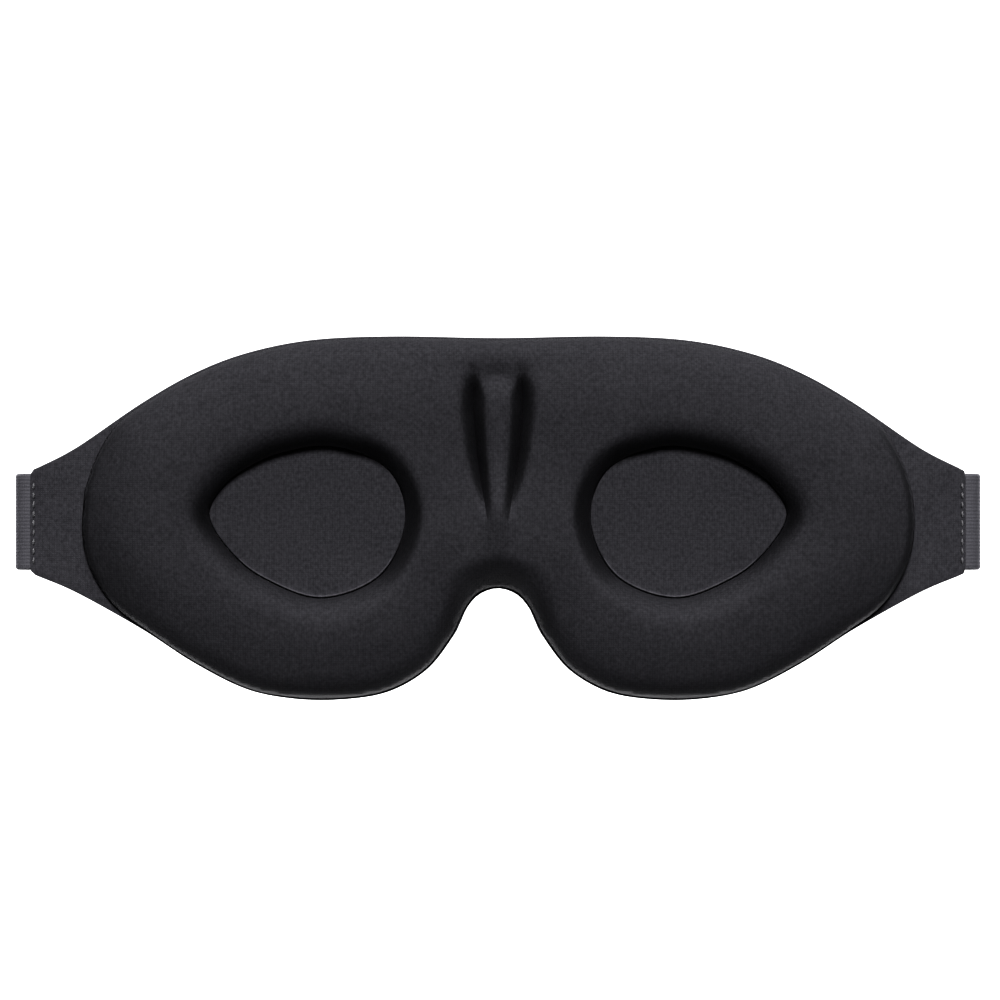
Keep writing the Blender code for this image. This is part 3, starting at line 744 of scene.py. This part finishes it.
# ---- strap -----------------------------------------------------------------------------------------------
def arc(middle, radius, start, end, steps):
    """Points round the middle from one angle to another, in degrees."""
    angles = np.radians(np.linspace(start, end, steps + 1))
    return [(middle[0] + radius * math.cos(a), middle[1] + radius * math.sin(a)) for a in angles]


def evenly(path, gap):
    """The open path with points about gap apart."""
    path = np.array(path, float)
    run = np.concatenate([[0], np.cumsum(np.linalg.norm(np.diff(path, axis=0), axis=1))])
    at = np.linspace(0, run[-1], max(2, round(run[-1] / gap)) + 1)
    return np.stack([np.interp(at, run, path[:, i]) for i in (0, 1)], 1), at


def band_section():
    """Outline of the elastic across its length, as (offset, z, side): ribbed faces and thin selvedges."""
    section = []
    for face in (1, -1):
        for step in range(SECTION_STEPS + 1):
            z = face * BAND_HALF * (1 - 2 * step / SECTION_STEPS)
            thinned = rise((BAND_HALF - abs(z)) / SELVEDGE)
            rib = RIB_RISE * math.cos(2 * math.pi * z / RIB)
            section.append((face * (BAND / 2 - RIB_RISE + rib) * thinned, z, face))
    shared_ends = (SECTION_STEPS + 1, 2 * SECTION_STEPS + 1)
    return [place for i, place in enumerate(section) if i not in shared_ends]


def ribbon(name, path, start_run=0.0, gap=1.2, wavy=0.1):
    """Elastic band on edge along a path in X-Y, with the weave coordinates counted on from start_run."""
    line, run = evenly(path, gap)
    ahead = np.gradient(line, axis=0)
    ahead /= np.linalg.norm(ahead, axis=1)[:, None]
    side = np.stack([ahead[:, 1], -ahead[:, 0]], 1)
    section = band_section()
    points, uv = [], []
    for (x, y), (sx, sy), at in zip(line, side, run):
        for off, z, face in section:
            wave = wavy * math.sin(at / 3.1 + 0.5 * math.sin(at / 7.7)) * (abs(z) / BAND_HALF) ** 4
            points.append((x + sx * off, y + sy * off, z + math.copysign(wave, z) * 0.5))
            uv.append(((start_run + at) * MM, (z + face * 2 * BAND_HALF) * MM))
    count = len(section)
    faces = []
    for i in range(len(line) - 1):
        for k in range(count):
            a, b = i * count + k, i * count + (k + 1) % count
            faces.append((a, b, b + count, a + count))
    faces += [tuple(range(count)), tuple(range((len(line) - 1) * count, len(line) * count))]
    return piece(name, points, faces, BAND_ELASTIC, uv)


def side_run():
    """From inside the right wing's end, out, straight back and round to the straight run."""
    slope = math.atan(2 * WING_BEND / WING_LENGTH)
    start_y = SWING_Y - 0.2
    lead = (STRAP_FROM, start_y - 3.6 * math.tan(slope))
    first = arc((SIDE - CORNER, start_y + CORNER), CORNER, math.degrees(slope) - 90, 0, 6)
    return [lead] + first + arc((SIDE - TURN, BACK_Y - TURN), TURN, 0, 90, 24)


def return_run(ring_y):
    """From the ring's far side under the strap to the slider, round its middle bar and back to the seam."""
    near_y, far_y = LOOP_Y - LOOP_WRAP, LOOP_Y + LOOP_WRAP
    bar_x = SLIDER_X + 1.1
    path = arc((RING_RIGHT, ring_y), WRAP, 180, 270, 6) + [(RING_RIGHT + 9.0, ring_y - WRAP)]
    path += [(SLIDER_X - 16, near_y), (bar_x, near_y)]
    path += arc((bar_x, LOOP_Y), LOOP_WRAP, -90, 90, 10)[1:]
    path += [(SLIDER_X - 3.5, far_y), (SLIDER_X - 8.5, near_y + BAND + 0.4)]
    path += [(SLIDER_X - 14, near_y + BAND + 0.25)]
    return path


def build_strap():
    """The three elastics, each built along its path."""
    side = side_run()
    ring_y = BACK_Y - WRAP

    left_side = [(-x, y) for x, y in side]
    round_ring = arc((RING_LEFT, ring_y), WRAP, 90, -90, 12)
    tail = [(RING_LEFT - 5.0, BACK_Y - BAND - LAYER_GAP), (RING_LEFT - 11.0, BACK_Y - BAND - 0.25)]
    short = ribbon("short_elastic", left_side + round_ring + tail)
    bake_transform(short)
    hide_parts("short_band", "strap_end_left")

    long = ribbon("long_elastic", side + arc((RING_RIGHT, ring_y), WRAP, 90, 180, 6))
    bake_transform(long)
    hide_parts("long_strap", "strap_end_right")

    lower = ribbon("return_elastic", return_run(ring_y), start_run=3.0)
    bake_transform(lower)
    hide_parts("strap_return", "strap_end_loop")


# ---- stitches --------------------------------------------------------------------------------------------
def stitch_row(name, places, radius):
    """Separate stitches as one mesh; each place is (start, end, outward), and the thread bows outward."""
    points, faces = [], []
    rings, around = 9, 8
    for start, end, outward in places:
        start, end, outward = (np.array(v, float) for v in (start, end, outward))
        run = end - start
        across = np.cross(run / np.linalg.norm(run), outward)
        first = len(points)
        for i in range(rings):
            t = i / (rings - 1)
            thick = radius * max(0.28, math.sin(math.pi * t) ** 0.35)
            middle = start + run * t + outward * radius * (1.5 * math.sin(math.pi * t) - 0.7)
            for k in range(around):
                a = 2 * math.pi * k / around
                points.append(middle + thick * (across * math.cos(a) + outward * math.sin(a)))
        for i in range(rings - 1):
            for k in range(around):
                a, b = first + i * around + k, first + i * around + (k + 1) % around
                faces.append((a, b, b + around, a + around))
        faces.append(tuple(first + k for k in range(around)))
        faces.append(tuple(first + (rings - 1) * around + k for k in range(around)))
    return piece(name, points, faces, THREAD)


def running(x, y, outward, half, pitch=2.3, share=0.68):
    """Places of a straight row up and down; share is the part of the pitch that the thread covers."""
    count = int(2 * half / pitch)
    low = -count * pitch / 2
    return [((x, y, low + i * pitch), (x, y, low + (i + share) * pitch), outward) for i in range(count)]


def zigzag(x, y, outward, half, width=1.0, pitch=1.5):
    """Places of a zigzag row up and down, width to either side."""
    count = int(2 * half / pitch)
    low = -count * pitch / 2
    places = []
    for i in range(count):
        off = width * (-1) ** i
        places.append(((x + off, y, low + i * pitch), (x - off, y, low + (i + 1) * pitch), outward))
    return places


def middle_of(node):
    """Middle of a CAD node in X and Y."""
    low, high = cad(node)
    return (low[0] + high[0]) / 2, (low[1] + high[1]) / 2


def build_stitches():
    for side in ("left", "right"):
        for where, out in (("inner", -1), ("outer", 1)):
            node = f"wing_stitch_{side}_{where}"
            x, y = middle_of(node)
            made = stitch_row(f"wing_seam_{side}_{where}", running(x, y, (0, out, 0), 11.0), 0.24)
            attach(made, "mask")
            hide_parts(node)
    for seam, body, out in (("band", "strap", 1), ("loop", "slider", -1)):
        x, y = middle_of(f"{seam}_stitch")
        made = stitch_row(f"{seam}_seam", zigzag(x, y, (0, out, 0), 10.5), 0.2)
        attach(made, body)
        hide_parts(f"{seam}_stitch")


def finish_plastic():
    """Ring and slider keep the CAD's own shape."""
    for node in ("ring", "slider"):
        thing = frame["nodes"][node]
        thing.data.materials.clear()
        thing.data.materials.append(PLASTIC)


# ---- stage -----------------------------------------------------------------------------------------------
FLOOR_Z, FLOOR_PALE, FLOOR_BOUNCE = -0.35, 0.9, 0.02
FRONT_GLOW, BACK_GLOW, SEEN_WHITE = 0.03, 0.9, 1.05


def mixed(tree, fac, first, second):
    """First shader where fac is 0, second where it is 1."""
    mix = tree.nodes.new("ShaderNodeMixShader")
    for index, socket in enumerate((fac, first, second)):
        tree.links.new(socket, mix.inputs[index])
    return mix.outputs[0]


def build_floor():
    """Pale floor that throws little light back up at the mask."""
    floor_mesh = bpy.data.meshes.new("floor")
    bm = bmesh.new()
    bmesh.ops.create_grid(bm, x_segments=1, y_segments=1, size=8)
    bm.to_mesh(floor_mesh)
    bm.free()
    floor = bpy.data.objects.new("floor", floor_mesh)
    floor.location = (0, 0, FLOOR_Z)
    paint = bpy.data.materials.new("pale_floor")
    paint.use_nodes = True
    tree = paint.node_tree
    pale = tree.nodes["Principled BSDF"]
    pale.inputs["Base Color"].default_value = (FLOOR_PALE, FLOOR_PALE, FLOOR_PALE, 1)
    pale.inputs["Roughness"].default_value = 0.9
    dull = tree.nodes.new("ShaderNodeBsdfDiffuse")
    dull.inputs["Color"].default_value = (FLOOR_BOUNCE, FLOOR_BOUNCE, FLOOR_BOUNCE, 1)
    bounced = tree.nodes.new("ShaderNodeLightPath").outputs["Is Diffuse Ray"]
    shown = mixed(tree, bounced, pale.outputs[0], dull.outputs[0])
    tree.links.new(shown, tree.nodes["Material Output"].inputs["Surface"])
    floor_mesh.materials.append(paint)
    bpy.context.scene.collection.objects.link(floor)


def build_world():
    """White to the camera; as light, dark on the face side and bright behind the mask."""
    world = bpy.data.worlds.new("studio")
    bpy.context.scene.world = world
    world.use_nodes = True
    tree = world.node_tree
    direction = tree.nodes.new("ShaderNodeSeparateXYZ")
    tree.links.new(tree.nodes.new("ShaderNodeTexCoord").outputs["Generated"], direction.inputs[0])
    behind = tree.nodes.new("ShaderNodeMapRange")
    behind.interpolation_type = "SMOOTHSTEP"
    tree.links.new(direction.outputs["Y"], behind.inputs["Value"])
    for key, value in {"From Min": 0.05, "From Max": 0.7, "To Min": FRONT_GLOW, "To Max": BACK_GLOW}.items():
        behind.inputs[key].default_value = value
    glow = tree.nodes["Background"]
    glow.inputs["Color"].default_value = (0.97, 0.98, 1, 1)
    tree.links.new(behind.outputs["Result"], glow.inputs["Strength"])
    white = tree.nodes.new("ShaderNodeBackground")
    white.inputs["Color"].default_value = (1, 1, 1, 1)
    white.inputs["Strength"].default_value = SEEN_WHITE
    seen = tree.nodes.new("ShaderNodeLightPath").outputs["Is Camera Ray"]
    shown = mixed(tree, seen, glow.outputs[0], white.outputs[0])
    tree.links.new(shown, tree.nodes["World Output"].inputs["Surface"])


def sun(name, toward, strength, spread):
    """A soft sun that shines from that direction."""
    light = bpy.data.lights.new(name, "SUN")
    light.energy = strength
    light.angle = math.radians(spread)
    lamp = bpy.data.objects.new(name, light)
    lamp.rotation_mode = "QUATERNION"
    lamp.rotation_quaternion = Vector(toward).to_track_quat("Z", "Y")
    bpy.context.scene.collection.objects.link(lamp)


def area(name, place, size, power):
    """A soft square light at that place, aimed at the origin, which is the middle of the mask's face side."""
    light = bpy.data.lights.new(name, "AREA")
    light.energy = power
    light.size = size
    lamp = bpy.data.objects.new(name, light)
    lamp.location = place
    lamp.rotation_mode = "QUATERNION"
    lamp.rotation_quaternion = Vector(place).to_track_quat("Z", "Y")
    lamp.visible_camera = False
    bpy.context.scene.collection.objects.link(lamp)


def build_camera():
    """Long lens, square on to the face side; field is the width that it sees at the depth of the aim."""
    focal, sensor, field = 180.0, 36.0, 0.2474
    aim = (0.0005, 0.016, 0.0054)
    away = focal / sensor * field
    camera = bpy.data.cameras.new("camera")
    camera.lens = focal
    camera.sensor_width = sensor
    camera.clip_end = 20
    eye = bpy.data.objects.new("camera", camera)
    eye.location = (aim[0], aim[1] - away, aim[2])
    eye.rotation_euler = (math.radians(90), 0, 0)
    bpy.context.scene.collection.objects.link(eye)
    bpy.context.scene.camera = eye


build_pad()
build_floors()
build_liner()
build_core()
build_cover()
build_strap()
build_stitches()
finish_plastic()
build_floor()
build_world()
sun("key", toward=(0.02, -0.92, 0.4), strength=4.4, spread=14)
sun("top", toward=(0.04, -0.2, 0.97), strength=2.6, spread=25)
area("rim", place=(0.0, 0.32, -0.28), size=0.5, power=2.9)
build_camera()
bpy.context.scene.view_settings.view_transform = "Standard"
bpy.context.scene.view_settings.look = "Very High Contrast"
